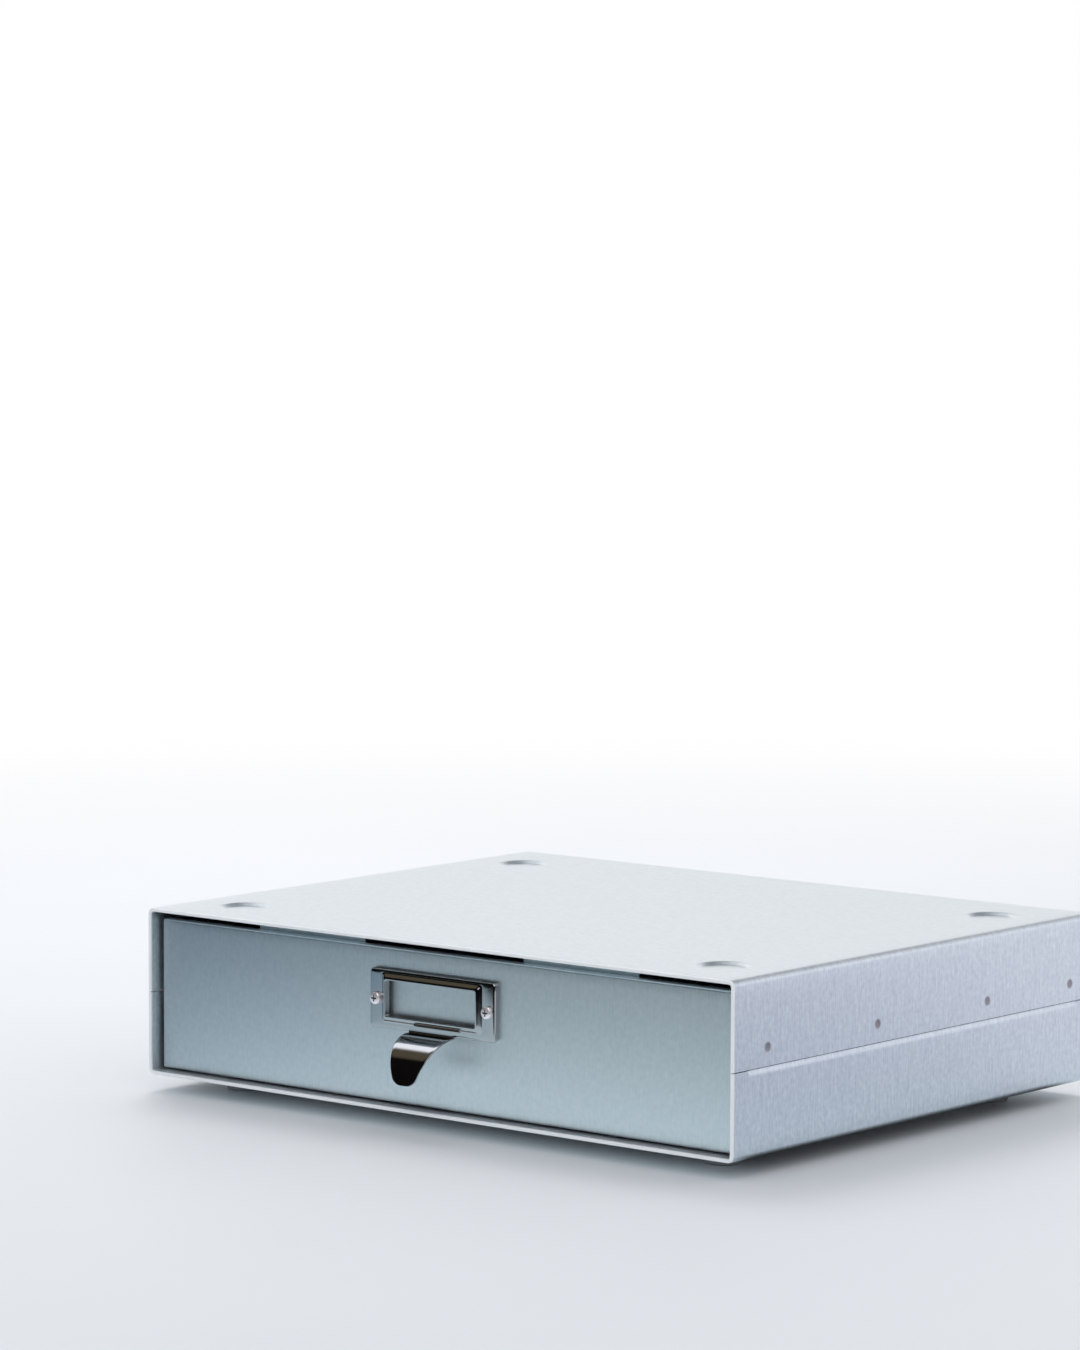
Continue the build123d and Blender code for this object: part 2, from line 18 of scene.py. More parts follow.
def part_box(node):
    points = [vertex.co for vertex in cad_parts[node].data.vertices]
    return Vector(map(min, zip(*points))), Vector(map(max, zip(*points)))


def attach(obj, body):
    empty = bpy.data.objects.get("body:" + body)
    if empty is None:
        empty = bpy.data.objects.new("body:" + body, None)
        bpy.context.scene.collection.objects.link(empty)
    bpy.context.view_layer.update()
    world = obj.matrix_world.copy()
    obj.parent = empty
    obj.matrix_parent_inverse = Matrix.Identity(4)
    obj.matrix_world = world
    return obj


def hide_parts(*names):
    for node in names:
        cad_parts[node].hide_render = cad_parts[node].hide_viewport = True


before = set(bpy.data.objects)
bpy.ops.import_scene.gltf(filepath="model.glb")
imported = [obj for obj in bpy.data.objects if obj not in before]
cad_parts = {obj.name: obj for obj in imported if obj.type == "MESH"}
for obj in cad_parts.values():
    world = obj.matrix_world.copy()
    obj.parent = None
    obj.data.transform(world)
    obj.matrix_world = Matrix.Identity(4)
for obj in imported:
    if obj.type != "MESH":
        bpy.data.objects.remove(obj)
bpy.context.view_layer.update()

# %% [markdown]
# ## Camera
#
# The photograph was taken with a long lens from the right, a little above the case. The angles
# and the place were fitted to the outline of the case, so the frame and the picture line up. A
# camera matrix is three directions side by side: right, up and backwards.

# %% Camera
yaw, pitch, roll = math.radians(39.48), math.radians(5.31), math.radians(0.235)
eye = (1.4741, -1.8412, 0.4198)
case_middle = (0.0, 0.0, 0.04)
focal_length, sensor_width = 133.95, 36.0

forward = np.array([
    -math.sin(yaw) * math.cos(pitch), math.cos(yaw) * math.cos(pitch), -math.sin(pitch)
])
level = np.array([math.cos(yaw), math.sin(yaw), 0.0])
upright = np.cross(level, forward)
right = math.cos(roll) * level + math.sin(roll) * upright
up = math.cos(roll) * upright - math.sin(roll) * level

camera = bpy.data.objects.new("camera", bpy.data.cameras.new("camera"))
bpy.context.scene.collection.objects.link(camera)
camera.data.lens = focal_length
camera.data.sensor_width = sensor_width
camera.data.clip_start, camera.data.clip_end = 0.05, 60.0
turned = Matrix([*zip(right, up, -forward)]).to_4x4()
camera.matrix_world = Matrix.Translation(eye) @ turned
bpy.context.scene.camera = camera
bpy.context.scene.view_settings.view_transform = "Standard"
print("camera to case:", round(math.dist(eye, case_middle), 2), "m")

# %% [markdown]
# ## Two small helpers for materials
#
# Colours are written as the sRGB codes that a colour picker shows, and Blender works in linear
# light, so one function turns them over. A material is a tree of nodes; one function adds a
# node, sets its properties and fills its inputs with values or with what other nodes give out.

# %% Colour and node helpers
def linear(code):
    """sRGB code to linear colour: ((c + 0.055) / 1.055) to the power 2.4, or c / 12.92 when dark."""
    c = np.array([int(code[i:i + 2], 16) for i in (1, 3, 5)]) / 255
    return (*np.where(c <= 0.04045, c / 12.92, ((c + 0.055) / 1.055) ** 2.4), 1.0)


def add(tree, kind, inputs=(), **settings):
    """Adds a node with its settings.

    An input takes a value, a socket, or another node, whose first output in use is linked."""
    node = tree.nodes.new(kind)
    for name, value in settings.items():
        setattr(node, name, value)
    for name, value in dict(inputs).items():
        if isinstance(value, bpy.types.Node):
            value = next(socket for socket in value.outputs if socket.enabled)
        if isinstance(value, bpy.types.NodeSocket):
            tree.links.new(value, node.inputs[name])
        else:
            node.inputs[name].default_value = value
    return node


print("middle grey in linear light:", round(linear("#808080")[0], 3))

# %% [markdown]
# ## Studio
#
# Bare metal has hardly any colour of its own: it shows the room. The room here is a white cove
# behind the case, under a dim ceiling, with a cool wall to the right. The half in front of the
# case is kept dark, as a photographer does to give chrome its black lines, but for a bright
# strip overhead on the left, a faint warm glow beside it and a broad soft panel overhead on the
# right, which lifts the edges that face up, with a small bulb in it that gives chrome corners
# their sparkle.
#
# Such a room could be built of walls and lamps. Here the world draws it by direction, in coats
# of colour, because an edge can then be as soft as it needs to be and nothing is in the way of
# the camera. One helper says how much of a coat shows, and one lays the coats over each other.

# %% Coats of colour with soft edges
WHITE = linear("#ffffff")
COLOUR_A, COLOUR_B = 6, 7       # inputs of the Mix node for colours


def share_within(tree, *limits):
    """Share from 0 to 1: the product of S-curves, one for each (value, start, end).

    An S-curve is 0 where its value is at the start and 1 where it is at the end."""
    curves = [
        add(tree, "ShaderNodeMapRange", {"Value": value, "From Min": start, "From Max": end},
            interpolation_type="SMOOTHSTEP")
        for value, start, end in limits
    ]
    share = curves[0]
    for curve in curves[1:]:
        share = add(tree, "ShaderNodeMath", {0: share, 1: curve}, operation="MULTIPLY")
    return share


def coats(tree, base, *layers):
    """Colour of a base under layers. Each is a colour mixed over what lies below, by a share."""
    for share, colour in layers:
        base = add(
            tree, "ShaderNodeMix", {0: share, COLOUR_A: base, COLOUR_B: colour}, data_type="RGBA"
        )
    return base


def seen_by_eye_or_metal(tree):
    """1 for rays from the camera, from a glossy surface or through a clear one, else 0."""
    ray = add(tree, "ShaderNodeLightPath").outputs
    seen = ray["Is Camera Ray"]
    for kind in ("Is Glossy Ray", "Is Transmission Ray"):
        seen = add(tree, "ShaderNodeMath", {0: seen, 1: ray[kind]}, operation="MAXIMUM")
    return seen


print("white in linear light:", tuple(round(float(c), 3) for c in WHITE))

# %% [markdown]
# Each patch of the room is a share of the sky: by side, by height, or by the angle to the middle
# of a lamp. The ceiling hangs higher on the left, where the camera sees it mirrored in the top,
# and so leaves the top pale.

# %% Patches of the room
world = bpy.data.worlds.new("studio")
bpy.context.scene.world = world
world.use_nodes = True
tree = world.node_tree
tree.nodes.clear()
direction = add(tree, "ShaderNodeTexCoord").outputs["Generated"]
toward = add(tree, "ShaderNodeSeparateXYZ", {"Vector": direction}).outputs
ceiling_start, ceiling_end, ceiling_lift = 0.46, 0.64, 0.25
strip_middle, strip_half, strip_soft = 0.015, 0.15, 0.08    # along Y, across the sky


def near(middle, start, end):
    """Share of a round patch of the sky, by the cosine of the angle to its middle."""
    cosine = add(
        tree, "ShaderNodeVectorMath", {0: direction, 1: Vector(middle).normalized()},
        operation="DOT_PRODUCT",
    )
    return share_within(tree, (cosine, start, end))


cool_wall = share_within(tree, (toward["X"], 0.0, 0.6))
dark_half = share_within(tree, (toward["Y"], 0.2, -0.15))
warm_glow = near((-0.65, -0.30, 0.70), 0.968, 0.996)
panel = near((0.4, -0.52, 0.75), 0.82, 0.90)
bulb = near((0.385, -0.31, 0.87), 0.990, 0.997)

far_left = share_within(tree, (toward["X"], -0.5, -0.75))
lift = add(tree, "ShaderNodeMath", {0: far_left, 1: ceiling_lift}, operation="MULTIPLY")
height = add(tree, "ShaderNodeMath", {0: toward["Z"], 1: lift}, operation="SUBTRACT")
ceiling = share_within(tree, (height, ceiling_start, ceiling_end))
cove = share_within(tree, (toward["Y"], 0.0, 0.3), (toward["Z"], ceiling_end, ceiling_start))

aside = add(tree, "ShaderNodeMath", {0: toward["Y"], 1: strip_middle}, operation="SUBTRACT")
aside = add(tree, "ShaderNodeMath", {0: aside}, operation="ABSOLUTE")
strip = share_within(
    tree, (toward["Z"], 0.5, 0.62), (toward["X"], 0.0, -0.25),
    (aside, strip_half + strip_soft, strip_half - strip_soft),
)
print("nodes that shape the room:", len(tree.nodes))

# %% [markdown]
# The patches get their colours from the farthest to the nearest. The cove, the strip and the
# bulb are brighter than white for the metal alone. The camera sees plain white all round, and
# everything that isn't metal is lit by one plain soft level, so that no patch throws a spot.

# %% Colour and light of the room
cove_level, strip_level, bulb_level = 1.3, 2.1, 7.0
soft_level = 0.86

ray = add(tree, "ShaderNodeLightPath").outputs
room = coats(
    tree, WHITE,
    (cool_wall, linear("#dfe2ec")), (ceiling, linear("#6c7278")), (dark_half, linear("#131110")),
    (warm_glow, linear("#6c6352")), (panel, linear("#f4f7fb")), (bulb, WHITE),
    (strip, linear("#f1f2f8")), (ray["Is Camera Ray"], WHITE),
)
extra = 0.0
for patch, patch_level in ((cove, cove_level), (strip, strip_level), (bulb, bulb_level)):
    extra = add(
        tree, "ShaderNodeMath", {0: patch, 1: patch_level - 1, 2: extra}, operation="MULTIPLY_ADD"
    )
not_camera = add(tree, "ShaderNodeMath", {0: 1.0, 1: ray["Is Camera Ray"]}, operation="SUBTRACT")
strength = add(
    tree, "ShaderNodeMath", {0: extra, 1: not_camera, 2: 1.0}, operation="MULTIPLY_ADD"
)
drawn = add(tree, "ShaderNodeBackground", {"Color": room, "Strength": strength})
soft = add(tree, "ShaderNodeBackground", {"Color": linear("#f4f7fb"), "Strength": soft_level})
either = add(tree, "ShaderNodeMixShader", {0: seen_by_eye_or_metal(tree), 1: soft, 2: drawn})
add(tree, "ShaderNodeOutputWorld", {"Surface": either})
print("studio levels:", cove_level, strip_level, bulb_level, "over a soft", soft_level)

# %% [markdown]
# One softbox hangs high behind the case on the left and gives the table its shadow. The metal
# sees the drawn room in its place. A lamp shines along its own -Z, so its Z axis points back
# from the target.

# %% Softbox
softbox_place, softbox_side, softbox_power = Vector((-0.8, 0.45, 1.5)), 0.8, 10.0
lamp = bpy.data.lights.new("softbox", "AREA")
lamp.shape = "RECTANGLE"
lamp.size, lamp.size_y = softbox_side, softbox_side
lamp.energy = softbox_power
softbox = bpy.data.objects.new("softbox", lamp)
softbox.visible_glossy = False
bpy.context.scene.collection.objects.link(softbox)
turned = (softbox_place - Vector(case_middle)).to_track_quat("Z", "Y").to_matrix().to_4x4()
softbox.matrix_world = Matrix.Translation(softbox_place) @ turned
print("softbox radiance:", round(softbox_power / (math.pi * softbox_side**2), 2))

# %% [markdown]
# ## Floor
#
# A plain pale table top. It takes the case's shadow, and fades to the white of the cove with
# distance, so that no horizon shows. Bare metal is coloured by what it stands on, and a pale top
# would leave it flat. So the metal sees a painted reflection there instead: a blue-grey slab that
# glows for glossy rays only, lighter to the right and to the back, with a pale card on it and the
# dark room beyond its front edge. It is one more painting in coats, this time over the places on
# the floor.

# %% Table top
floor_reach = 4.0
floor_mesh = bpy.data.meshes.new("floor")
floor_mesh.from_pydata(
    [(-floor_reach, -floor_reach, 0), (floor_reach, -floor_reach, 0),
     (floor_reach, floor_reach, 0), (-floor_reach, floor_reach, 0)], [], [(0, 1, 2, 3)],
)
floor = bpy.data.objects.new("floor", floor_mesh)
bpy.context.scene.collection.objects.link(floor)


def blank(name):
    """New material, and its node tree with nothing in it."""
    material = bpy.data.materials.new(name)
    material.use_nodes = True
    material.node_tree.nodes.clear()
    return material, material.node_tree


laminate, tree = blank("pale_table_laminate")
floor_mesh.materials.append(laminate)
place = add(tree, "ShaderNodeTexCoord").outputs["Object"]
cloud = add(tree, "ShaderNodeTexNoise", {"Vector": place, "Scale": 3.0, "Detail": 2.0})
tone = coats(tree, linear("#e4e6e9"), (cloud, linear("#ebecee")))
print("table top:", 2 * floor_reach, "m across")

# %% [markdown]
# Places on the slab are metres from the case: along the front to the right, across to the back,
# beyond the slab's front edge, out from the case's middle, and away from the pale card. Straight
# under the case the slab is painted dark, as a painted shadow.

# %% The slab that the metal sees
slab_edge_place, slab_edge_normal = (0.0, -0.395, 0.0), (0.2, -0.98, 0.0)
card_place, under_middle = (0.47, -0.25, 0.0), (0.0, 0.008, 0.0)

along, across, _ = add(tree, "ShaderNodeSeparateXYZ", {"Vector": place}).outputs
out = add(tree, "ShaderNodeVectorMath", {0: place}, operation="LENGTH")
beyond = add(tree, "ShaderNodeVectorMath", {0: place, 1: slab_edge_place}, operation="SUBTRACT")
beyond = add(
    tree, "ShaderNodeVectorMath", {0: beyond, 1: slab_edge_normal}, operation="DOT_PRODUCT"
)
from_card = add(tree, "ShaderNodeVectorMath", {0: place, 1: card_place}, operation="DISTANCE")
sides = add(tree, "ShaderNodeVectorMath", {0: place, 1: under_middle}, operation="SUBTRACT")
sides = add(tree, "ShaderNodeVectorMath", {0: sides}, operation="ABSOLUTE")
sides = add(tree, "ShaderNodeSeparateXYZ", {"Vector": sides}).outputs

beside = coats(
    tree, linear("#8f97ae"), (share_within(tree, (across, 0.05, 0.4)), linear("#e8ebf7"))
)
painted_slab = coats(
    tree, linear("#8ba8bd"),
    (share_within(tree, (along, -0.5, 0.0)), linear("#e5f7ff")),
    (share_within(tree, (across, 0.0, 0.3)), linear("#e3e8f0")),
    (share_within(tree, (along, 0.15, 0.3)), beside),
    (share_within(tree, (out, 0.9, 2.2)), WHITE),
    (share_within(tree, (beyond, 0.0, 0.08)), linear("#141517")),
    (share_within(tree, (from_card, 0.24, 0.14)), WHITE),
    # Painted shadow: the slab is dark straight under the case.
    (share_within(tree, (sides["X"], 0.215, 0.17), (sides["Y"], 0.145, 0.115)), linear("#0c0e11")),
)
print("slab's front edge:", -slab_edge_place[1], "m in front of the case's middle")

# %% [markdown]
# Three surfaces share the top: laminate near the case, white light far off for the camera and
# for what it sees through the clear feet, and the slab for metal, which glows for glossy rays only
# as a painted reflection. A Light Path node tells which kind of ray has come.

# %% Finish of the floor
fade_start, fade_end = 0.55, 1.7
top = add(tree, "ShaderNodeBsdfPrincipled", {"Base Color": tone, "Roughness": 0.6})
white_light = add(tree, "ShaderNodeEmission", {"Color": WHITE})
# Painted reflection: the slab glows, and only glossy rays see it.
slab_light = add(tree, "ShaderNodeEmission", {"Color": painted_slab})
far_and_seen = add(
    tree, "ShaderNodeMath",
    {0: share_within(tree, (out, fade_start, fade_end)), 1: seen_by_eye_or_metal(tree)},
    operation="MULTIPLY",
)
table = add(tree, "ShaderNodeMixShader", {0: far_and_seen, 1: top, 2: white_light})
ray = add(tree, "ShaderNodeLightPath").outputs
either = add(tree, "ShaderNodeMixShader", {0: ray["Is Glossy Ray"], 1: table, 2: slab_light})
add(tree, "ShaderNodeOutputMaterial", {"Surface": either})
print("the top fades to white from", fade_start, "to", fade_end, "m")

# %% [markdown]
# ## Sizes of the sheet metal
#
# The frame knows where every piece is, so the outside sizes are read from it. Gauge, folds and
# pressed marks are the press shop's own numbers. Finishes and shapes both use them: a weld's
# tint has to lie on its dent, and the painted shade in the seam on its gap.

# %% Sizes, read from the frame
mm = 0.001
gauge = 0.8 * mm
hem_thick, hem_reach = 1.8 * mm, 12 * mm
corner_bend = 3 * mm
top_low, top_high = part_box("casing_top_shell")
half_width = top_high.x
front, rear = top_low.y, top_high.y
underside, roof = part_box("casing_base_shell")[0].z, top_high.z
depth = rear - front
foot_centres = [
    tuple((low + high) / 2 for low, high in zip(*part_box("foot_" + name)))[:2]
    for name in ("front_left", "front_right", "rear_left", "rear_right")
]
weld_setbacks = [25 * mm, 107 * mm, 193.5 * mm, depth - 18 * mm]
weld_down = 31.7 * mm
seam, seam_half_gap = 39.6 * mm, 0.2 * mm
print("casing", [round(v / mm, 1) for v in (2 * half_width, depth, roof - underside)], "mm")

# %% [markdown]
# ## Finishes
#
# The sheet is steel with a thin electroplated layer of zinc, drawn between rolls. Rolling leaves
# short streaks along the strip, and the zinc settles in pale and dark patches a few millimetres
# wide. Reflections are soft, with a roughness near 0.47. The streaks are drawn about twice as
# coarse as real ones, or the picture's pixels would swallow them. They show most on the sides,
# where the rolls rubbed the sheet while it was bent.

# %% Grain of the sheet
NUMBER_A, NUMBER_B = 2, 3       # inputs of the Mix node for numbers
patch_size, wave_size = 2.5 * mm, 80 * mm
grain_share = 0.55


def rolled_grain(tree, place, streak):
    """Fine streaks, a mottle of streaks and patches, and the broad waves of a bent sheet.

    streak holds the streaks' size along X, Y and Z. A noise of scale 1 / size has spots about
    as wide as that size."""
    stretched = add(
        tree, "ShaderNodeMapping", {"Vector": place, "Scale": [1 / size for size in streak]}
    )
    grain = add(
        tree, "ShaderNodeTexNoise",
        {"Vector": stretched, "Scale": 1.0, "Detail": 3.0, "Roughness": 0.6},
    )
    patches = add(
        tree, "ShaderNodeTexNoise", {"Vector": place, "Scale": 1 / patch_size, "Detail": 3.0}
    )
    waves = add(
        tree, "ShaderNodeTexNoise", {"Vector": place, "Scale": 1 / wave_size, "Detail": 1.0}
    )
    mottle = add(
        tree, "ShaderNodeMix", {0: grain_share, NUMBER_A: patches, NUMBER_B: grain},
        data_type="FLOAT",
    )
    return grain, mottle, waves


print("zinc patches:", round(patch_size / mm, 1), "mm, waves:", round(wave_size / mm), "mm")

# %% [markdown]
# Three marks are laid on the sheet. Spot welding tints the zinc round each dent. The seam where
# the shells lap is painted dark, as painted shade in its narrow gap. At the tight front folds the
# zinc is made duller and is painted nearly white, as a painted highlight. Each is a coat of
# colour that a distance or a height limits.

# %% Marks on the sheet
tint_start, tint_end = 2.8 * mm, 1.5 * mm       # from a weld's middle
fold_start, fold_end = 1.6 * mm, 0.6 * mm       # behind the front edge
fold_rough, fold_metallic = 0.8, 0.3
seam_shade_soft = 0.1 * mm


def weld_tints(tree, place, colour, welds):
    """Colour with a tint round each weld, by the distance to it as seen from the side."""
    side_on = add(tree, "ShaderNodeVectorMath", {0: place, 1: (0, 1, 1)}, operation="MULTIPLY")
    for weld in welds:
        away = add(
            tree, "ShaderNodeVectorMath", {0: side_on, 1: (0, *weld)}, operation="DISTANCE"
        )
        tint = share_within(tree, (away, tint_start, tint_end))
        colour = coats(tree, colour, (tint, linear("#a39da1")))
    return colour


def seam_painted_shade(tree, z, colour, low, high):
    """Colour with a band of painted shade between two heights, for the shade in a seam, with soft
    rims outside.
    """
    seam_shade = share_within(tree, (z, low, low + seam_shade_soft), (z, high + seam_shade_soft, high))
    return coats(tree, colour, (seam_shade, linear("#1d1e20")))


print("a weld's tint fades out", tint_start / mm, "mm from its middle")

# %% [markdown]
# Zinc is a metal, so Metallic is 1 and the base colour tints its reflections. The mottle drives
# both the colour and the roughness, as the same crystals make both. Two bumps bend the
# reflections: a broad ripple from the bending, and the fine streaks on top of it. The sides are
# painted a little deeper in tone than the top, as painted shade.

# %% Zinc-coated sheet steel
flank_start, flank_end = 170 * mm, 174 * mm     # from the middle of the case to its side


def zinc_steel(name, streak, welds=(), groove=None, fold=None):
    """Zinc-plated cold-rolled sheet. streak holds the grain's size along X, Y and Z in metres.

    welds lists places on the sides where spot welding has tinted the zinc, as Y and Z. groove
    is the lower and upper height of a band in a seam that is painted dark, as painted shade. fold
    is the Y of a tight front fold, where the zinc is duller and its colour is painted paler, as a
    painted highlight."""
    material, tree = blank(name)
    place = add(tree, "ShaderNodeTexCoord").outputs["Object"]
    x, y, z = add(tree, "ShaderNodeSeparateXYZ", {"Vector": place}).outputs
    grain, mottle, waves = rolled_grain(tree, place, streak)
    side_shade_share = add(tree, "ShaderNodeMath", {0: x}, operation="ABSOLUTE")
    side_shade_share = share_within(tree, (side_shade_share, flank_start, flank_end))
    # Painted shade: the sides get a deeper tone than the top of the same sheet.
    deep = coats(tree, linear("#dfe6ea"), (side_shade_share, linear("#d2d8df")))
    tone = add(tree, "ShaderNodeMapRange", {"Value": mottle, "From Min": 0.33, "From Max": 0.67})
    colour = weld_tints(tree, place, coats(tree, deep, (tone, linear("#f0f5f8"))), welds)
    # Painted shade: a dark band in the seam between the shells.
    if groove:
        colour = seam_painted_shade(tree, z, colour, *groove)
    rough = add(
        tree, "ShaderNodeMapRange",
        {"Value": mottle, "From Min": 0.3, "From Max": 0.7, "To Min": 0.44, "To Max": 0.5},
    )
    metallic = 1.0
    # Painted highlight: the front fold is painted nearly white, and made rougher and less metallic.
    if fold:
        dull_and_highlight = share_within(tree, (y, fold + fold_start, fold + fold_end))
        colour = coats(tree, colour, (dull_and_highlight, linear("#fdfeff")))
        rough = add(
            tree, "ShaderNodeMix", {0: dull_and_highlight, NUMBER_A: rough, NUMBER_B: fold_rough},
            data_type="FLOAT",
        )
        metallic = add(
            tree, "ShaderNodeMix", {0: dull_and_highlight, NUMBER_A: metallic, NUMBER_B: fold_metallic},
            data_type="FLOAT",
        )
    ripple = add(
        tree, "ShaderNodeBump", {"Height": waves, "Distance": 0.5 * mm, "Strength": 0.5}
    )
    streaks = add(
        tree, "ShaderNodeBump",
        {"Height": grain, "Distance": 0.002 * mm, "Strength": 0.6, "Normal": ripple},
    )
    metal = add(
        tree, "ShaderNodeBsdfPrincipled",
        {"Base Color": colour, "Metallic": metallic, "Roughness": rough, "Normal": streaks},
    )
    add(tree, "ShaderNodeOutputMaterial", {"Surface": metal})
    return material


print("the sides deepen from", flank_start / mm, "to", flank_end / mm, "mm beside the middle")

# %% [markdown]
# The strip ran lengthwise through the rolls before it was cut and bent, so the casing's streaks
# run round the U: across the top and up the sides. On the drawer front they stand upright. The
# two shells get marks of their own.

# %% Sheet finishes
streak_long, streak_fine = 9 * mm, 0.55 * mm
round_the_u = (streak_long, streak_fine, streak_long)
upright_streaks = (streak_fine, streak_long, streak_long)
weld_places = [(front + setback, roof - weld_down) for setback in weld_setbacks]
seam_height = underside + seam

shell_steel = zinc_steel("zinc_plated_sheet_casing", round_the_u)
front_steel = zinc_steel("zinc_plated_sheet_drawer_front", upright_streaks)
welded_steel = zinc_steel("zinc_plated_sheet_spot_welded", round_the_u, weld_places, fold=front)
lapped_steel = zinc_steel(
    "zinc_plated_sheet_lapped", round_the_u,
    groove=(seam_height - 0.3 * mm, seam_height + 0.8 * mm), fold=front,
)
print("sheet finishes:", [m.name for m in (shell_steel, front_steel, welded_steel, lapped_steel)])

# %% [markdown]
# The label holder is a brass or steel pressing with bright chrome over it: a cool mirror with a
# roughness under 0.1 and faint wiping smears. The screws are satin nickel, a little warmer, with
# painted shade in the cross recess.

# %% Chrome and nickel plate
def recess_shade_share(tree, place, recess):
    """Share of a screw's cross recess: deep enough, near the axis, and inside the head.

    recess holds the X, Y and Z of its mouth. It is the same on both sides of X = 0."""
    recess_x, mouth, recess_z = recess
    y = add(tree, "ShaderNodeSeparateXYZ", {"Vector": place}).outputs["Y"]
    from_axis = add(tree, "ShaderNodeVectorMath", {0: place}, operation="ABSOLUTE")
    from_axis = add(
        tree, "ShaderNodeVectorMath", {0: from_axis, 1: (1, 0, 1)}, operation="MULTIPLY"
    )
    from_axis = add(
        tree, "ShaderNodeVectorMath", {0: from_axis, 1: (recess_x, 0, recess_z)},
        operation="DISTANCE",
    )
    return share_within(
        tree, (y, mouth - 0.15 * mm, mouth + 0.15 * mm), (from_axis, 1.85 * mm, 1.7 * mm),
        (y, mouth + 1.3 * mm, mouth + 1.1 * mm),
    )


def plated(name, dark, light, smear, low, high, metallic=1.0, recess=None):
    """Bright plating: two close tones and a roughness that a soft smear pattern varies.

    metallic below 1 gives the milky look of a satin plating. A recess is painted darker, as painted
    shade."""
    material, tree = blank(name)
    place = add(tree, "ShaderNodeTexCoord").outputs["Object"]
    smears = add(tree, "ShaderNodeTexNoise", {"Vector": place, "Scale": 1 / smear, "Detail": 2.0})
    colour = coats(tree, linear(dark), (smears, linear(light)))
    rough = add(
        tree, "ShaderNodeMapRange",
        {"Value": smears, "From Min": 0.3, "From Max": 0.7, "To Min": low, "To Max": high},
    )
    # Painted shade in the screws' cross recess.
    if recess:
        colour = coats(tree, colour, (recess_shade_share(tree, place, recess), linear("#6b6366")))
    metal = add(
        tree, "ShaderNodeBsdfPrincipled",
        {"Base Color": colour, "Metallic": metallic, "Roughness": rough},
    )
    add(tree, "ShaderNodeOutputMaterial", {"Surface": metal})
    return material


chrome = plated("bright_chrome_plate", "#a6a7a9", "#b1b2b4", 6 * mm, 0.05, 0.1)
nickel = plated(
    "satin_nickel_plated_steel", "#fbf0f2", "#fff8f9", 1.5 * mm, 0.38, 0.46, metallic=0.78,
    recess=(33.3 * mm, -129.8 * mm, 58.9 * mm),
)
print("plated finishes:", chrome.name, nickel.name)

# %% [markdown]
# The feet are clear polyurethane bumpers, the buffers black rubber, the glide strips white nylon
# and the pads under the feet grey foam tape. All come from a mould or a roll with a fine matt
# texture, so one function makes them.

# %% Rubber, nylon and foam
def moulded(name, dark, light, grain, roughness, relief, clear=0.0):
    """Moulded rubber or plastic: two close tones, a fine moulded texture, and some clearness."""
    material, tree = blank(name)
    place = add(tree, "ShaderNodeTexCoord").outputs["Object"]
    texture = add(tree, "ShaderNodeTexNoise", {"Vector": place, "Scale": 1 / grain, "Detail": 3.0})
    colour = coats(tree, linear(dark), (texture, linear(light)))
    bump = add(
        tree, "ShaderNodeBump", {"Height": texture, "Distance": relief, "Strength": 0.5}
    )
    body = add(
        tree, "ShaderNodeBsdfPrincipled",
        {"Base Color": colour, "Roughness": roughness, "Transmission Weight": clear,
         "Normal": bump},
    )
    add(tree, "ShaderNodeOutputMaterial", {"Surface": body})
    return material


clear_rubber = moulded("clear_polyurethane", "#8f8d92", "#a3a1a5", 0.9 * mm, 0.3, 0.01 * mm, 0.25)
black_rubber = moulded("black_moulded_rubber", "#1b1b1c", "#262627", 0.4 * mm, 0.65, 0.02 * mm)
nylon = moulded("white_nylon_strip", "#dedbd0", "#e8e5db", 0.6 * mm, 0.45, 0.01 * mm)
foam = moulded("grey_acrylic_foam_tape", "#a9aaa8", "#bcbdbb", 0.3 * mm, 0.8, 0.03 * mm)
print("finishes:", len(bpy.data.materials))

# %% [markdown]
# ## From a grid of points to a mesh
#
# Every new piece is a function of two parameters, so it starts as an array of points in rows and
# columns. A plain sheet needs few lines and a small feature many, so the lines of a grid are
# placed by the features that they cross.

# %% Grid lines
def lines(low, high, step, exact=(), fine=(), apart=0.12 * mm):
    """Sorted grid positions: one every step, each exact place, and closer ones round features.

    fine lists (middle, reach, step). Positions nearer than apart to an exact one are left out."""
    free = [np.linspace(low, high, max(2, round((high - low) / step) + 1))]
    free += [np.arange(middle - reach, middle + reach, close) for middle, reach, close in fine]
    free = np.concatenate(free)
    exact = np.array([low, high, *exact])
    clear = np.abs(free[:, None] - exact).min(axis=1) > apart
    inside = (free > low) & (free < high)
    found = np.concatenate([free[clear & inside], exact])
    return np.unique(np.round(found, 6))


def smooth(q):
    """S-curve from 0 to 1 with level ends: three q squared minus two q cubed."""
    q = np.clip(q, 0, 1)
    return q * q * (3 - 2 * q)


print("half an S-curve:", [round(float(smooth(q)), 2) for q in (0, 0.25, 0.5)])

# %% [markdown]
# One helper joins neighbouring points into quads. It can leave quads out where the real sheet is
# cut, and close the grid on itself along rows or columns. All of it is done with whole arrays,
# because a Python loop over some ten thousand points would be slow.

# %% From points to quads
same_place = 0.004 * mm


def merge(piece):
    """Joins points that fall together, and drops the faces that this leaves without area."""
    weld = piece.modifiers.new("merge", "WELD")
    weld.merge_threshold = same_place


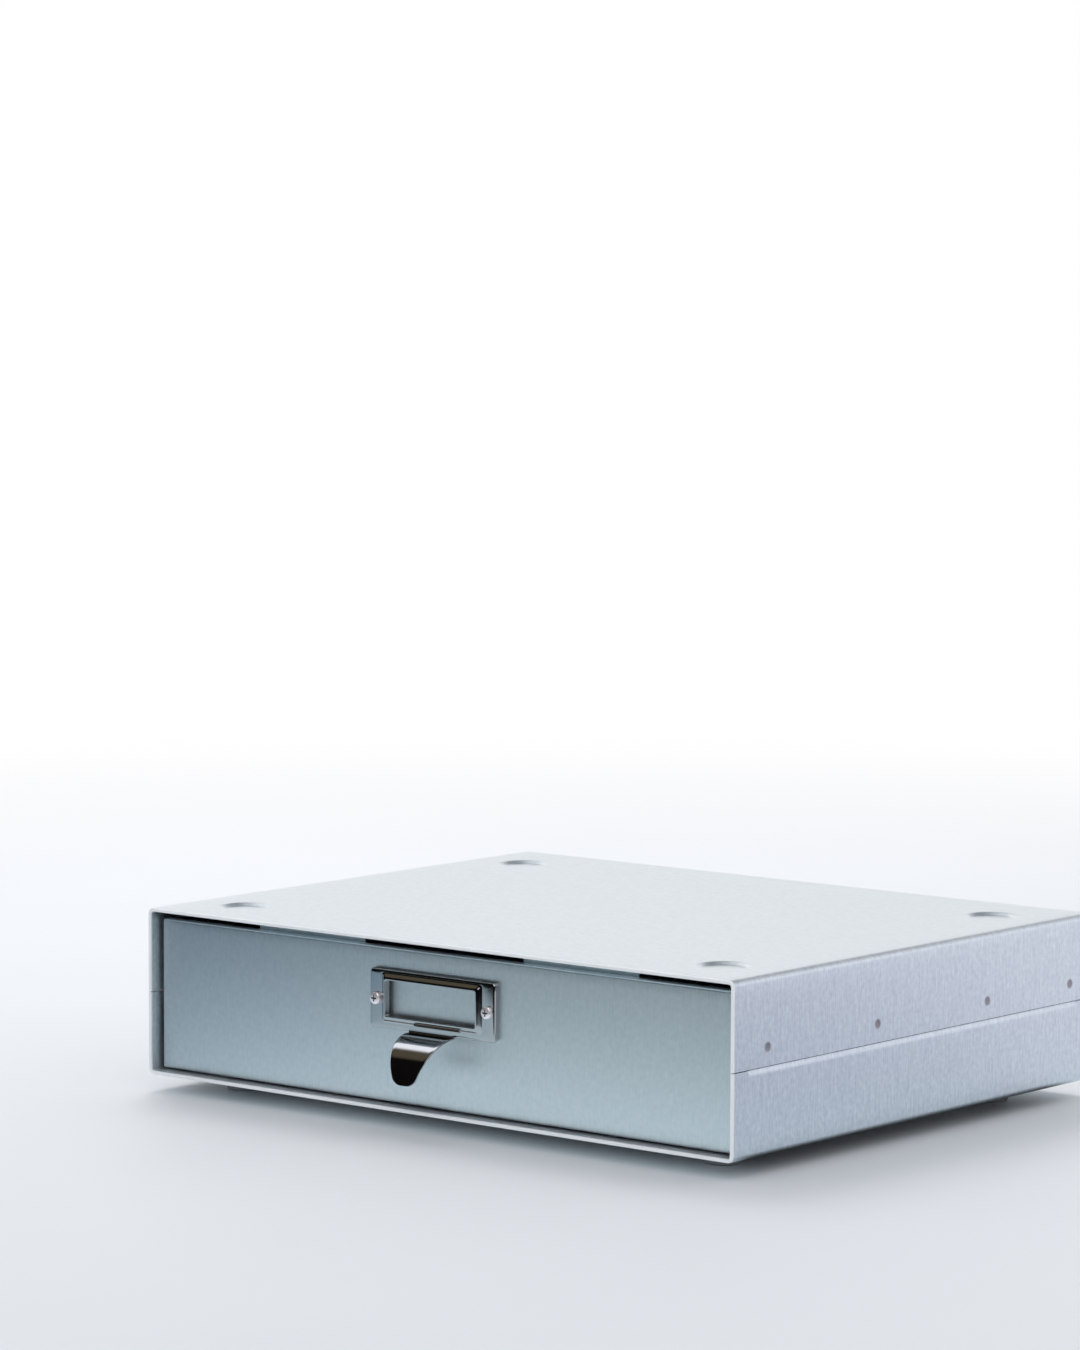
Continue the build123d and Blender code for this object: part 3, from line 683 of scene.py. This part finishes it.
def surface(name, points, keep=None, wrap_rows=False, wrap_columns=False, flip=False):
    """Object whose mesh joins a grid of points (rows, columns, 3) into quads.

    Normals point along row direction x column direction, or against it with flip. keep says
    which quads exist. Points that fall together are merged, which closes seams and poles."""
    rows, columns = points.shape[:2]
    index = np.arange(rows * columns).reshape(rows, columns)
    if wrap_rows:
        index = np.vstack([index, index[:1]])
    if wrap_columns:
        index = np.hstack([index, index[:, :1]])
    quads = np.stack([index[:-1, :-1], index[1:, :-1], index[1:, 1:], index[:-1, 1:]], axis=-1)
    quads = quads[keep] if keep is not None else quads.reshape(-1, 4)
    if flip:
        quads = quads[:, ::-1]
    used, corners = np.unique(quads, return_inverse=True)
    mesh = bpy.data.meshes.new(name)
    mesh.vertices.add(len(used))
    mesh.vertices.foreach_set("co", points.reshape(-1, 3)[used].astype(np.float32).ravel())
    mesh.loops.add(corners.size)
    mesh.loops.foreach_set("vertex_index", corners.ravel().astype(np.int32))
    mesh.polygons.add(len(quads))
    mesh.polygons.foreach_set("loop_start", np.arange(0, corners.size, 4, dtype=np.int32))
    mesh.update(calc_edges=True)
    piece = bpy.data.objects.new(name, mesh)
    bpy.context.scene.collection.objects.link(piece)
    merge(piece)
    return piece


print("points closer than", round(same_place / mm, 3), "mm are merged")

# %% [markdown]
# A finished piece is a plain mesh: its modifiers are applied, and it is shaded smooth but for
# real creases. Sheet gets its thickness behind the drawn skin, and its cut edges are broken, as
# a deburring wheel leaves them. Then the piece gets its finish, rides on its body and stands for
# the CAD nodes that it dresses.

# %% Finishing helpers
broken_edge = 0.12 * mm
broken_from = math.radians(50)


def settle(piece, crease=math.radians(32)):
    """Applies a piece's modifiers to its mesh, and shades it smooth except at sharp creases."""
    shaped = piece.evaluated_get(bpy.context.evaluated_depsgraph_get())
    mesh = bpy.data.meshes.new_from_object(shaped)
    mesh.name = piece.name
    piece.modifiers.clear()
    piece.data = mesh
    mesh.shade_smooth()
    mesh.set_sharp_from_angle(angle=crease)


def give_gauge(piece):
    """Gives a sheet its thickness behind the drawn skin, and breaks its cut edges."""
    solid = piece.modifiers.new("gauge", "SOLIDIFY")
    solid.thickness = gauge
    solid.offset = -1
    solid.use_even_offset = True
    broken = piece.modifiers.new("broken_edges", "BEVEL")
    broken.width = broken_edge
    broken.segments = 2
    broken.limit_method = "ANGLE"
    broken.angle_limit = broken_from
    merge(piece)
    settle(piece)


def place_piece(piece, material, body, slot, *nodes):
    """Gives a piece its finish and body, and lets it stand for CAD nodes."""
    piece.data.materials.clear()
    piece.data.materials.append(material)
    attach(piece, body)
    if nodes:
        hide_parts(*nodes)
    print(f"{piece.name}: {len(piece.data.polygons)} faces, rides on {body}")


print("cut edges are broken by", round(broken_edge / mm, 2), "mm")

# %% [markdown]
# ## Casing shells
#
# Each shell is one sheet bent twice into a U, with its front edge folded flat on itself. On the
# real sheet the dimples and welds come before the bends. Here the same order holds in the
# formula: a section runs from the rear edge over the hem, the U carries it, and pressed features
# are a depth below the skin, added along the inward normal. Both shells share one U.

# %% The U and the hem
def u_path(leg, across):
    """Outer line of a U that opens downwards, with its inward normals.

    leg holds depths below the closed face from the bend to the open edge, across the places on
    that face. A bend is a quarter circle. Returns x, depth, and the normal's two parts."""
    turn = np.linspace(0, np.pi / 2, 9)[1:-1]
    x = np.concatenate([np.full(len(leg), -half_width),
                        -half_width + corner_bend * (1 - np.cos(turn))])
    down = np.concatenate([leg[::-1], corner_bend * (1 - np.sin(turn))])
    in_x = np.concatenate([np.ones(len(leg)), np.cos(turn)])
    in_down = np.concatenate([np.zeros(len(leg)), np.sin(turn)])
    flat = np.zeros(len(across))
    return (
        np.concatenate([x, across, -x[::-1]]),
        np.concatenate([down, flat, down[::-1]]),
        np.concatenate([in_x, flat, -in_x[::-1]]),
        np.concatenate([in_down, flat + 1, in_down[::-1]]),
    )


def hem_section(setbacks, inner):
    """Section from the rear edge, round the folded front edge, to the fold's end.

    setbacks and inner are distances behind the front edge. The fold is a half circle as thick as
    two sheets. Returns distance behind the front edge and depth below the skin."""
    radius = hem_thick / 2
    turn = np.linspace(0, np.pi, 15)[1:-1]
    back = np.concatenate([setbacks[::-1], radius * (1 - np.sin(turn)), inner])
    below = np.concatenate([
        np.zeros(len(setbacks)), radius * (1 - np.cos(turn)), np.full(len(inner), hem_thick)
    ])
    return back, below


def shell_points(path, back, below, closed_z, direction):
    """Grid of a shell: path point plus inward normal times depth. direction is 1 upright."""
    x, down, in_x, in_down = (part[:, None] for part in path)
    across = x + in_x * below
    height = closed_z - direction * (down + in_down * below)
    set_back = front + np.broadcast_to(back, below.shape)
    return np.stack([direction * across, set_back, height], axis=-1)


print("hem:", round(hem_thick / mm, 1), "mm thick,", round(hem_reach / mm, 1), "mm deep")

# %% [markdown]
# The top shell carries four stacking dimples over the feet, a row of spot welds on each side,
# and two stops: tongues of the hem that are turned down to catch the drawer's back wall. The
# grid is coarse on flat sheet and closer round each feature, with a line on each cut.

# %% Grid of the top shell
dimple_floor, dimple_slope, dimple_depth = 9.8 * mm, 2.4 * mm, 1.5 * mm
dimple_reach = dimple_floor + dimple_slope + 1 * mm
weld_flat, weld_slope, weld_depth, weld_reach = 1.1 * mm, 0.6 * mm, 0.12 * mm, 2.1 * mm
tab_middles, tab_half, tab_cut = (-80.5 * mm, 80.5 * mm), 33 * mm, 1 * mm
tab_bend, tab_drop = 0.8 * mm, 6.7 * mm
plain_step, dimple_step, weld_step = 8 * mm, 0.75 * mm, 0.3 * mm

dimple_x = sorted({round(x, 5) for x, _ in foot_centres})
dimple_back = sorted({round(y - front, 5) for _, y in foot_centres})
tab_edges = [middle + side * (tab_half + cut)
             for middle in tab_middles for side in (-1, 1) for cut in (0, tab_cut)]

leg = lines(
    corner_bend, roof - top_low.z, 6 * mm, fine=[(weld_down, weld_reach, weld_step)]
)
across = lines(
    corner_bend - half_width, half_width - corner_bend, plain_step, exact=tab_edges,
    fine=[(x, dimple_reach, dimple_step) for x in dimple_x],
)
setbacks = lines(
    hem_thick / 2, depth, plain_step, exact=[hem_reach],
    fine=[(y, dimple_reach, dimple_step) for y in dimple_back]
    + [(y, weld_reach, weld_step) for y in weld_setbacks],
)
path = u_path(leg, across)
back, below = hem_section(setbacks, np.linspace(hem_thick / 2, hem_reach - tab_bend, 4))
print("top shell grid:", len(path[0]), "lines round the U,", len(setbacks), "from front to rear")

# %% [markdown]
# The hem's last few columns are bent two ways: straight on where the sheet is plain, and round a
# small bend and down where a stop hangs.

# %% Hem and stops
turn = np.linspace(0, np.pi / 2, 7)[1:]
drop = np.linspace(tab_bend, tab_drop, 4)[1:]
hanging_end = np.full(len(drop), hem_reach)
straight_end = hem_reach - tab_bend + tab_bend * turn / (np.pi / 2)
plain_back = np.concatenate([back, straight_end, hanging_end])
plain_below = np.concatenate([below, np.full(len(turn) + len(drop), hem_thick)])
tab_back = np.concatenate([back, hem_reach - tab_bend * (1 - np.sin(turn)), hanging_end])
tab_below = np.concatenate([below, hem_thick + tab_bend * (1 - np.cos(turn)), hem_thick + drop])

x, down, in_x, in_down = path
on_top = in_down > 0.999
on_side = (np.abs(in_x) > 0.999)[:, None]
near_tab = np.abs(x[:, None] - np.array(tab_middles)).min(axis=1)
in_tab = (on_top & (near_tab < tab_half + 0.5 * tab_cut))[:, None]
all_back = np.where(in_tab, tab_back, plain_back)
all_below = np.where(in_tab, tab_below, plain_below)
print("stops hang", round((hem_thick + tab_drop) / mm, 1), "mm below the top")

# %% [markdown]
# A dimple is a level floor with a soft slope round it, and a weld mark is a very small one. Both
# depend only on the distance to their middle, so one formula presses them all.

# %% Dimples and weld marks
def pressed_round(distance, flat, slope):
    """Share of a round pressing: 1 on its floor, then an S-curve down to 0 over its slope."""
    return 1 - smooth((distance - flat) / slope)


outer = np.arange(all_back.shape[1]) < len(setbacks)
pressed = np.zeros_like(all_below)
for centre_x in dimple_x:
    for centre_back in dimple_back:
        distance = np.hypot(x[:, None] - centre_x, all_back - centre_back)
        dimple = dimple_depth * pressed_round(distance, dimple_floor, dimple_slope)
        pressed += on_top[:, None] * dimple
for centre_back in weld_setbacks:
    distance = np.hypot(down[:, None] - weld_down, all_back - centre_back)
    pressed += on_side * weld_depth * pressed_round(distance, weld_flat, weld_slope)
points = shell_points(path, all_back, all_below + pressed * outer, roof, 1)
print("deepest pressing:", round(pressed.max() / mm, 2), "mm")

# %% [markdown]
# The grid hangs down all along the hem, but only the stops are real. Quads beside a stop are the
# punch's slots, and hanging quads outside a stop don't exist.

# %% Top shell
column = np.arange(all_back.shape[1] - 1)
turned = (column >= len(back) - 1)
hanging = (column >= len(back) + len(turn) - 1)
top_row = on_top[1:] & on_top[:-1]
middle_tab = (near_tab[1:] + near_tab[:-1]) / 2
tab_row = (top_row & (middle_tab < tab_half))[:, None]
cut_row = (top_row & (middle_tab > tab_half) & (middle_tab < tab_half + tab_cut))[:, None]
keep = np.where(hanging, tab_row, ~(turned & cut_row))
top_shell = surface("top_shell", points, keep=keep, flip=True)
give_gauge(top_shell)
place_piece(top_shell, welded_steel, "casing", "zinc_steel", "casing_top_shell")

# %% [markdown]
# The base shell is the same U upside down. Along the sides its upper edge is set in by one gauge
# and stands up behind the top shell. That shoulder curves in just under the seam and catches
# the light as a thin bright line, which starts softly behind the front hem.

# %% Base shell
shoulder_rise, lap_rise = 3.2 * mm, 16 * mm
lap_start, lap_end = 13.2 * mm, depth - 13.2 * mm
lap_run_in = 3 * mm
shoulder = seam - shoulder_rise
shoulder_run = shoulder_rise - seam_half_gap

leg = lines(
    corner_bend, seam + lap_rise, 6 * mm, exact=[shoulder, seam - seam_half_gap],
    fine=[(shoulder + shoulder_run / 2, shoulder_run / 2, 0.15 * mm)],
)
across = lines(corner_bend - half_width, half_width - corner_bend, plain_step)
setbacks = lines(
    hem_thick / 2, depth, plain_step,
    exact=[lap_start - lap_run_in, lap_start, lap_end, lap_end + lap_run_in],
    fine=[(lap_start - lap_run_in / 2, lap_run_in / 2, 0.3 * mm),
          (lap_end + lap_run_in / 2, lap_run_in / 2, 0.3 * mm)],
)
path = u_path(leg, across)
down = path[1][:, None]
back, below = hem_section(setbacks, np.linspace(hem_thick / 2, hem_reach, 4))
outer = np.arange(len(back)) < len(setbacks)
from_lap = np.maximum(np.maximum(lap_start - back, back - lap_end), 0)
in_lap = outer * (1 - smooth(from_lap / lap_run_in))
stepped = gauge * np.clip((down - shoulder) / shoulder_run, 0, 1) ** 2 * in_lap
points = shell_points(path, back[None, :], below[None, :] + stepped, underside, -1)

rise = (down[1:] + down[:-1]) / 2
behind = (back[1:] + back[:-1]) / 2
lap_face = outer[1:] & outer[:-1] & (behind > lap_start) & (behind < lap_end)
keep = lap_face | (rise < seam - seam_half_gap)
base_shell = surface("base_shell", points, keep=keep, flip=True)
give_gauge(base_shell)
place_piece(base_shell, lapped_steel, "casing", "zinc_steel", "casing_base_shell")

# %% [markdown]
# ## Folded pans
#
# The drawer front and the back panel are shallow pans: a flat face whose four edges are folded
# back. A pan is a family of nested rounded rectangles. The flat face shrinks them to a line, the
# fold turns their offset into depth, and the return carries the outermost one backwards.

# %% Nested rounded rectangles
def rounded_outline(half_w, half_h, radius, corner_steps, long_cuts, short_cuts):
    """Rounded rectangles, one for each row of the three arrays, as rows x points x 2.

    Corners are quarter circles, counter-clockwise from the right. Cuts are the shares of a
    straight side at which it has a point."""
    half_w, half_h, radius = (np.asarray(v)[:, None] for v in (half_w, half_h, radius))
    quarter = np.linspace(0, np.pi / 2, corner_steps + 1)
    arcs = []
    for number, (side_x, side_z) in enumerate([(1, 1), (-1, 1), (-1, -1), (1, -1)]):
        angle = quarter + number * np.pi / 2
        arcs.append(np.stack([
            side_x * (half_w - radius) + radius * np.cos(angle),
            side_z * (half_h - radius) + radius * np.sin(angle),
        ], axis=-1))
    parts = []
    for number, cuts in enumerate([long_cuts, short_cuts, long_cuts, short_cuts]):
        share = np.asarray(cuts)[None, :, None]
        start, end = arcs[number][:, -1:], arcs[(number + 1) % 4][:, :1]
        parts += [arcs[number], start * (1 - share) + end * share]
    return np.concatenate(parts, axis=1)


def pan_points(low, high, corner, bend, inward):
    """Skin of a pan that fills the box between two corners, low and high.

    Inset from the outline on the flat, a quarter circle, then the return. inward is the side,
    1 or -1, to which the edges are folded along Y."""
    half_w, half_h, middle_z = high.x, (high.z - low.z) / 2, (high.z + low.z) / 2
    face_y = low.y if inward > 0 else high.y
    inset_flat = np.linspace(half_h, bend, 10)
    turn = np.linspace(0, np.pi / 2, 8)[1:]
    straight = np.linspace(bend, high.y - low.y, 5)[1:]
    inset = np.concatenate([inset_flat, bend * (1 - np.sin(turn)), np.zeros(len(straight))])
    behind = np.concatenate([np.zeros(len(inset_flat)), bend * (1 - np.cos(turn)), straight])
    cuts = np.linspace(0, 1, 24)[1:-1]
    flat = rounded_outline(
        half_w - inset, half_h - inset, np.maximum(corner - inset, 0), 6, cuts, cuts[::2]
    )
    y = face_y + inward * np.broadcast_to(behind[:, None], flat.shape[:2])
    return np.stack([flat[..., 0], y, middle_z + flat[..., 1]], axis=-1)


unit_outline = rounded_outline([1], [1], [0.2], 6, [0.5], [0.5])
print("a rounded rectangle has", unit_outline.shape[1], "points when each side has one more")

# %% [markdown]
# The drawer front is folded tight, and its top return is shorter than the others. The back panel
# closes the rear and is a little rounder.

# %% Drawer front and back panel
front_bend, top_return = 1.2 * mm, 4.5 * mm
front_low, front_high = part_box("drawer_front_panel")
points = pan_points(front_low, front_high, front_bend, front_bend, 1)
short_top = points[-1, :, 2] > front_high.z - front_bend
points[..., 1] = np.where(
    short_top, np.minimum(points[..., 1], front_low.y + top_return), points[..., 1]
)
front_panel = surface("front_panel", points, wrap_columns=True)
give_gauge(front_panel)
place_piece(front_panel, front_steel, "drawer", "zinc_steel", "drawer_front_panel")

back_bend, back_corner = 1.4 * mm, 2.1 * mm
back_low, back_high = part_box("casing_back_panel")
points = pan_points(back_low, back_high, back_corner, back_bend, -1)
back_panel = surface("back_panel", points, wrap_columns=True, flip=True)
give_gauge(back_panel)
place_piece(back_panel, front_steel, "casing", "zinc_steel", "casing_back_panel")

# %% [markdown]
# ## Label holder and pull
#
# One chrome-plated pressing. Its section is a closed loop: folded edge, flat, raised frame, lip
# into the window, and back again behind the skin.

# %% Section of the holder
plate_half_w, plate_half_h, plate_corner = 37.5 * mm, 13.75 * mm, 2 * mm
plate_gauge, plate_bend, plate_depth, edge_straight = 0.9 * mm, 1.2 * mm, 2.8 * mm, 2 * mm
bead_rise, bead_crest, bead_run, bead_foot = 1.5 * mm, 1 * mm, 2.3 * mm, 0.12 * mm
lip_turn, lip_round = 0.5 * mm, 0.3 * mm
straight_share = 0.45        # of the frame's slope, and the rest is an S-curve


def arc(centre, radius, start, end, steps=6):
    """Points of a circle from one angle to another, in degrees, as (offset, height)."""
    angle = np.radians(np.linspace(start, end, steps))
    return np.stack([centre[0] + radius * np.cos(angle), centre[1] + radius * np.sin(angle)], -1)


outside = np.concatenate([
    [(0, -plate_depth), (0, -edge_straight)],
    arc((plate_bend, -plate_bend), plate_bend, 180, 90),
])
share = np.linspace(0, 1, 22)
ramped = straight_share * share + (1 - straight_share) * smooth(share)
slope = np.stack([bead_crest + bead_run * (1 - share), bead_rise * ramped], axis=-1)
bead = np.concatenate([
    [(bead_crest + bead_run + bead_foot, 0)],
    slope,
    arc((lip_round, bead_rise - lip_round), lip_round, 90, 180),
    [(0, 0), (0, -plate_gauge - lip_turn), (plate_gauge, -plate_gauge - lip_turn)],
    [(plate_gauge, bead_rise - plate_gauge)],
    slope[-6::-5] - (lip_round, plate_gauge),
])
inside = np.concatenate([
    arc((plate_bend, -plate_bend), plate_bend - plate_gauge, 90, 180, 4),
    [(plate_gauge, -edge_straight), (plate_gauge, -plate_depth)],
])
loop = np.concatenate([outside, bead, inside])
on_window = np.repeat([False, True, False], [len(outside), len(bead), len(inside)])
offset, height = loop.T
print("holder's section:", len(loop), "points round a sheet of", round(plate_gauge / mm, 1), "mm")

# %% [markdown]
# The loop is carried round the window: along the plate's outline on its outer part, and along
# the window's on the raised frame. At the card slot and over the tongue the folded edge is
# missing, so there the loop stops at the plate's back. Two lines close together make that step.

# %% Holder plate
window_half_w, window_half_h, window_lift = 26.75 * mm, 8.25 * mm, 0.7 * mm
window_corner, window_spread = 0.8 * mm, 0.33
slot_half, root_half, step_width = 29 * mm, 13.8 * mm, 0.05 * mm
plate_face = front_low.y - plate_depth
plate_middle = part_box("label_holder_pull")[1].z - plate_half_h

flat_half = plate_half_w - plate_corner
marks = lines(
    -flat_half, flat_half, 3 * mm,
    exact=[side * (edge + gap) for side in (-1, 1) for edge in (slot_half, root_half)
           for gap in (0, step_width)],
    apart=0.03 * mm,
)
long_cuts = ((marks + flat_half) / (2 * flat_half))[1:-1]
short_cuts = np.linspace(0, 1, 9)[1:-1]
plate_lines = rounded_outline(
    plate_half_w - offset, plate_half_h - offset,
    np.maximum(plate_corner - offset, 0.05 * mm), 8, long_cuts, short_cuts,
)
window_lines = rounded_outline(
    window_half_w + offset, window_half_h + offset, window_corner + window_spread * offset, 8,
    long_cuts, short_cuts,
) + (0, window_lift)
flat = np.where(on_window[:, None, None], window_lines, plate_lines)
rise = np.broadcast_to(height[:, None], flat.shape[:2])
edge_x, edge_z = plate_lines[0].T
at_slot = (np.abs(edge_x) < slot_half + step_width / 2) & (edge_z > 0)
at_root = (np.abs(edge_x) < root_half + step_width / 2) & (edge_z < 0)
open_edge = (at_slot | at_root) & ~on_window[:, None]
rise = np.where(open_edge, np.maximum(rise, -plate_gauge), rise)
plate_points = np.stack(
    [flat[..., 0], plate_face - rise, plate_middle + flat[..., 1]], axis=-1
)
plate = surface("label_holder", plate_points, wrap_rows=True, wrap_columns=True, flip=True)
settle(plate)
place_piece(plate, chrome, "drawer", "chrome_plate")

# %% [markdown]
# The pull is a tongue of the same sheet: bent forward in a tight curve at the plate's lower
# edge, then curved out and down over a quarter turn, and narrowing to a rounded tip. Its section
# is a flat bar with softened edges, carried along that line. The bar's width at each place is a
# straight taper in the front view, closed at the tip by a circle.

# %% Line and width of the tongue
pull_reach, pull_turn, pull_lip, root_bend = 19.8 * mm, math.radians(80), 5 * mm, 0.7 * mm
pull_radius = (pull_reach - pull_lip * math.cos(pull_turn)) / math.sin(pull_turn)
tip_half, tip_round, straight_root = 6.2 * mm, 5.6 * mm, 0.25 * mm
edge_soft, root_rise, proud = 0.43 * mm, 1.6 * mm, 0.02 * mm
root_z = plate_middle - plate_half_h


def tongue_line():
    """Skin line of the tongue: forward distance, height over the root, and its forward normal.

    A straight start on the plate, a small hollow bend, a circle down, then a straight lip."""
    small = np.radians(np.linspace(0, 88, 9))
    meet = math.asin(root_bend / pull_radius)
    large = np.concatenate([np.linspace(meet, pull_turn, 50), np.full(24, pull_turn)])
    lip = np.concatenate([np.zeros(50), pull_lip * np.sin(np.linspace(0, np.pi / 2, 25))[1:]])
    out = pull_radius * np.sin(large) + lip * np.cos(large)
    up = pull_radius * (np.cos(large) - 1) - lip * np.sin(large)
    out = np.concatenate([[0], root_bend * (1 - np.cos(small)), out])
    up = np.concatenate([[root_rise], root_bend * (1 - np.sin(small)), up])
    normal_out = np.concatenate([[1], np.cos(small), np.sin(large)])
    normal_up = np.concatenate([[0], np.sin(small), np.cos(large)])
    return out, up, normal_out, normal_up


def half_width_at(up):
    """Half the tongue's width: straight taper below the root, and a circle at the tip."""
    low = pull_radius * (math.cos(pull_turn) - 1) - pull_lip * math.sin(pull_turn)
    slope = (root_half - tip_half) / (-straight_root - low)
    taper = np.minimum(root_half, tip_half + slope * (up - low))
    length = math.hypot(1, slope)
    centre_up = low + tip_round
    centre_x = tip_half + slope * tip_round - tip_round * length
    circle = centre_x + np.sqrt(np.maximum(tip_round**2 - (up - centre_up) ** 2, 0))
    return np.where(up < centre_up - tip_round * slope / length, circle, taper)


out, rise, normal_out, normal_up = tongue_line()
half_bar = half_width_at(rise)
print("tongue:", round((rise[0] - rise[-1]) / mm, 1), "mm high,", round(out.max() / mm, 1), "mm out")

# %% [markdown]
# The bar is a tube of rounded rectangles, one at each point of the line, turned with its normal.
# Its two ends are closed by a point in their middle. The tongue stands a hair proud of the
# plate, so that the two skins don't lie in one plane where they meet.

# %% Pull tongue
bar = rounded_outline(
    half_bar, np.full(len(rise), plate_gauge / 2), np.full(len(rise), edge_soft), 4,
    np.linspace(0, 1, 18)[1:-1], [0.5],
)
sunk = plate_gauge / 2 - bar[..., 1]
out_all = out[:, None] - normal_out[:, None] * sunk + proud * (rise[:, None] > 0)
up_all = rise[:, None] - normal_up[:, None] * sunk
tongue_points = np.stack([bar[..., 0], plate_face - out_all, root_z + up_all], axis=-1)
root_cap, tip_cap = (
    np.broadcast_to(tongue_points[end].mean(axis=0), tongue_points[:1].shape) for end in (0, -1)
)
tongue_points = np.concatenate([root_cap, tongue_points, tip_cap])
tongue = surface("pull_tongue", tongue_points, wrap_columns=True, flip=True)
settle(tongue, math.radians(60))
place_piece(tongue, chrome, "drawer", "chrome_plate")
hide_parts("label_holder_pull")
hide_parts("label_holder_pull")

# %% [markdown]
# ## The pieces that stay as the CAD made them
#
# Feet, pads, glide strips, buffers, screws, nuts and the drawer's inner sheets have their full
# shape in the CAD frame already. They only need a finish.

# %% Finish for the CAD pieces
finishes = {
    "foot_adhesive_pads": foam, "drawer_body": shell_steel, "drawer_back_wall": front_steel,
}
for side_name in ("left", "right"):
    finishes["glide_strip_" + side_name] = nylon
    finishes["rear_buffer_" + side_name] = black_rubber
    finishes["label_screw_" + side_name] = nickel
    finishes["label_nut_" + side_name] = nickel
    for end in ("front", "rear"):
        finishes[f"foot_{end}_{side_name}"] = clear_rubber
for name, material in finishes.items():
    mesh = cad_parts[name].data
    mesh.materials.clear()
    mesh.materials.append(material)
print("CAD pieces with a finish:", len(finishes))
